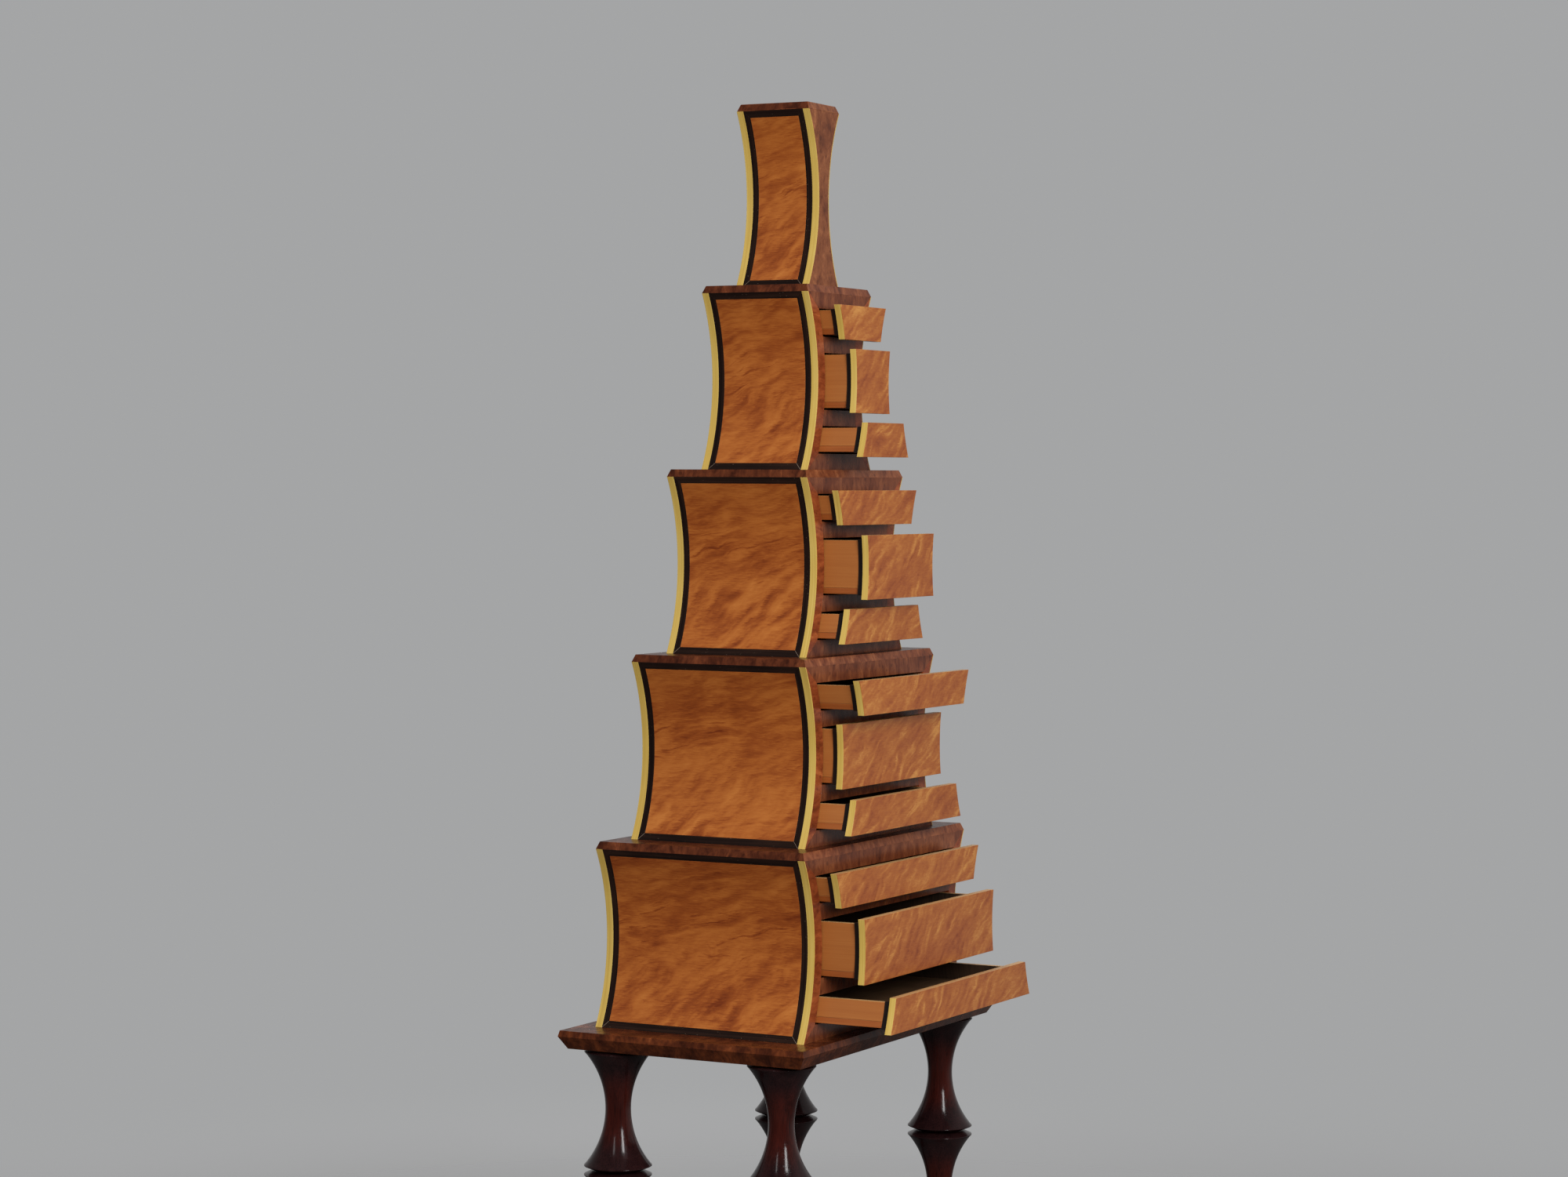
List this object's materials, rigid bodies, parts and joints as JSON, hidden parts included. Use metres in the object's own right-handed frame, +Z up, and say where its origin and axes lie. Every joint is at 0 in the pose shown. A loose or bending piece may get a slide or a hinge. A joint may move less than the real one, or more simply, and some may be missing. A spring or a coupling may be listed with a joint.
{
  "type": "chest on chest",
  "caption": "Tall stepped tower chest of drawers with hollow-curved sides, lipped sliding drawers, banded veneer side panels and a slab base on turned spool legs.",
  "frame": {"origin": "on the floor, on the tower's upright axis, midway between the four feet", "axes": "+Z up, the drawers open towards -Y, +X to the right of someone facing the drawers"},
  "size_m": [0.594, 0.4583, 1.771],
  "materials": {
    "figured_veneer": "satin lacquered figured veneer",
    "pale_edging": "satin lacquered pale wood",
    "dark_banding": "satin lacquered dark wood",
    "burl_veneer": "satin lacquered burl veneer",
    "case_wood": "plain sanded wood",
    "drawer_wood": "oiled plain wood",
    "leg_lacquer": "high gloss dark lacquer on turned wood"
  },
  "bodies": {
    "case": {"leg_front_left": "leg_lacquer", "leg_front_right": "leg_lacquer", "leg_back_left": "leg_lacquer", "leg_back_right": "leg_lacquer", "base_slab": "burl_veneer", "tier_dowels": "case_wood", "tier1_cap": "burl_veneer", "tier1_side_edgings": "pale_edging", "tier1_side_bands": "dark_banding", "tier1_side_panels": "figured_veneer", "tier1_face_frame": "burl_veneer", "tier1_carcase": "case_wood", "tier2_cap": "burl_veneer", "tier2_side_edgings": "pale_edging", "tier2_side_bands": "dark_banding", "tier2_side_panels": "figured_veneer", "tier2_face_frame": "burl_veneer", "tier2_carcase": "case_wood", "tier3_cap": "burl_veneer", "tier3_side_edgings": "pale_edging", "tier3_side_bands": "dark_banding", "tier3_side_panels": "figured_veneer", "tier3_face_frame": "burl_veneer", "tier3_carcase": "case_wood", "tier4_cap": "burl_veneer", "tier4_side_edgings": "pale_edging", "tier4_side_bands": "dark_banding", "tier4_side_panels": "figured_veneer", "tier4_face_frame": "burl_veneer", "tier4_carcase": "case_wood", "tier5_cap": "burl_veneer", "tier5_side_edgings": "pale_edging", "tier5_side_bands": "dark_banding", "tier5_side_panels": "figured_veneer", "tier5_front_board": "burl_veneer", "tier5_core": "case_wood"},
    "tier1_bottom_drawer": {"tier1_bottom_drawer_front": "figured_veneer", "tier1_bottom_drawer_box": "drawer_wood"},
    "tier1_middle_drawer": {"tier1_middle_drawer_front": "figured_veneer", "tier1_middle_drawer_box": "drawer_wood"},
    "tier1_top_drawer": {"tier1_top_drawer_front": "figured_veneer", "tier1_top_drawer_box": "drawer_wood"},
    "tier2_bottom_drawer": {"tier2_bottom_drawer_front": "figured_veneer", "tier2_bottom_drawer_box": "drawer_wood"},
    "tier2_middle_drawer": {"tier2_middle_drawer_front": "figured_veneer", "tier2_middle_drawer_box": "drawer_wood"},
    "tier2_top_drawer": {"tier2_top_drawer_front": "figured_veneer", "tier2_top_drawer_box": "drawer_wood"},
    "tier3_bottom_drawer": {"tier3_bottom_drawer_front": "figured_veneer", "tier3_bottom_drawer_box": "drawer_wood"},
    "tier3_middle_drawer": {"tier3_middle_drawer_front": "figured_veneer", "tier3_middle_drawer_box": "drawer_wood"},
    "tier3_top_drawer": {"tier3_top_drawer_front": "figured_veneer", "tier3_top_drawer_box": "drawer_wood"},
    "tier4_bottom_drawer": {"tier4_bottom_drawer_front": "figured_veneer", "tier4_bottom_drawer_box": "drawer_wood"},
    "tier4_middle_drawer": {"tier4_middle_drawer_front": "figured_veneer", "tier4_middle_drawer_box": "drawer_wood"},
    "tier4_top_drawer": {"tier4_top_drawer_front": "figured_veneer", "tier4_top_drawer_box": "drawer_wood"}
  },
  "joints": [
    {"name": "tier1_bottom_drawer_slide", "type": "slide", "parent": "case", "child": "tier1_bottom_drawer", "axis": [0, -1, 0], "range_m": [-0.1045, 0.1365]},
    {"name": "tier1_middle_drawer_slide", "type": "slide", "parent": "case", "child": "tier1_middle_drawer", "axis": [0, -1, 0], "range_m": [-0.0565, 0.1845]},
    {"name": "tier1_top_drawer_slide", "type": "slide", "parent": "case", "child": "tier1_top_drawer", "axis": [0, -1, 0], "range_m": [-0.0245, 0.2165]},
    {"name": "tier2_bottom_drawer_slide", "type": "slide", "parent": "case", "child": "tier2_bottom_drawer", "axis": [0, -1, 0], "range_m": [-0.0455, 0.1445]},
    {"name": "tier2_middle_drawer_slide", "type": "slide", "parent": "case", "child": "tier2_middle_drawer", "axis": [0, -1, 0], "range_m": [-0.023, 0.167]},
    {"name": "tier2_top_drawer_slide", "type": "slide", "parent": "case", "child": "tier2_top_drawer", "axis": [0, -1, 0], "range_m": [-0.0565, 0.1335]},
    {"name": "tier3_bottom_drawer_slide", "type": "slide", "parent": "case", "child": "tier3_bottom_drawer", "axis": [0, -1, 0], "range_m": [-0.035, 0.104]},
    {"name": "tier3_middle_drawer_slide", "type": "slide", "parent": "case", "child": "tier3_middle_drawer", "axis": [0, -1, 0], "range_m": [-0.0595, 0.0795]},
    {"name": "tier3_top_drawer_slide", "type": "slide", "parent": "case", "child": "tier3_top_drawer", "axis": [0, -1, 0], "range_m": [-0.024, 0.115]},
    {"name": "tier4_bottom_drawer_slide", "type": "slide", "parent": "case", "child": "tier4_bottom_drawer", "axis": [0, -1, 0], "range_m": [-0.061, 0.027]},
    {"name": "tier4_middle_drawer_slide", "type": "slide", "parent": "case", "child": "tier4_middle_drawer", "axis": [0, -1, 0], "range_m": [-0.041, 0.047]},
    {"name": "tier4_top_drawer_slide", "type": "slide", "parent": "case", "child": "tier4_top_drawer", "axis": [0, -1, 0], "range_m": [-0.0255, 0.0625]}
  ]
}
